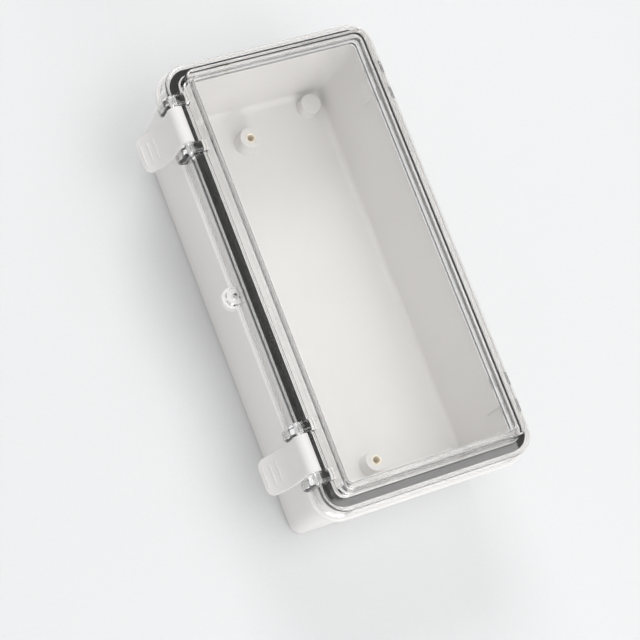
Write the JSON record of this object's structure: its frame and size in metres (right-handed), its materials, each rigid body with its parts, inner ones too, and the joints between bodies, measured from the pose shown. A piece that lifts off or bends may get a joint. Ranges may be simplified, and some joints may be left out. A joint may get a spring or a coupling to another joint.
{
  "type": "junction box",
  "caption": "Long waterproof junction box with a grey moulded base, a clear lid hinged along one long side, a black gasket, and white levers that hook the lid shut.",
  "frame": {"origin": "centre of the flat back face of the base, which lies against the wall or stands on a table", "axes": "+Z from the back face to the clear lid, +Y along the box, +X towards the hinged long side, so the levers are at -X"},
  "size_m": [0.1116, 0.2, 0.07],
  "materials": {
    "grey_base": "satin moulded ABS, light grey",
    "clear_lid": "clear polished polycarbonate",
    "black_gasket": "matte foam rubber",
    "white_lever": "satin white plastic",
    "pin_steel": "drawn stainless steel",
    "insert_brass": "turned brass"
  },
  "bodies": {
    "base": {"base_shell": "grey_base", "insert_upper": "insert_brass", "insert_lower": "insert_brass"},
    "lid": {"lid": "clear_lid", "gasket": "black_gasket", "latch_pin_upper": "pin_steel", "latch_pin_lower": "pin_steel", "hinge_pin_upper": "pin_steel", "hinge_pin_lower": "pin_steel"},
    "latch_upper": {"latch_upper": "white_lever"},
    "latch_lower": {"latch_lower": "white_lever"}
  },
  "joints": [
    {"name": "lid_hinge", "type": "hinge", "parent": "base", "child": "lid", "pos_m": [0.0496, 0, 0.045], "axis": [0, 1, 0], "range_deg": [0, 180]},
    {"name": "latch_upper_pivot", "type": "hinge", "parent": "lid", "child": "latch_upper", "pos_m": [-0.0486, 0.072, 0.0617], "axis": [0, 1, 0], "range_deg": [0, 95]},
    {"name": "latch_lower_pivot", "type": "hinge", "parent": "lid", "child": "latch_lower", "pos_m": [-0.0486, -0.072, 0.0617], "axis": [0, 1, 0], "range_deg": [0, 95]}
  ]
}
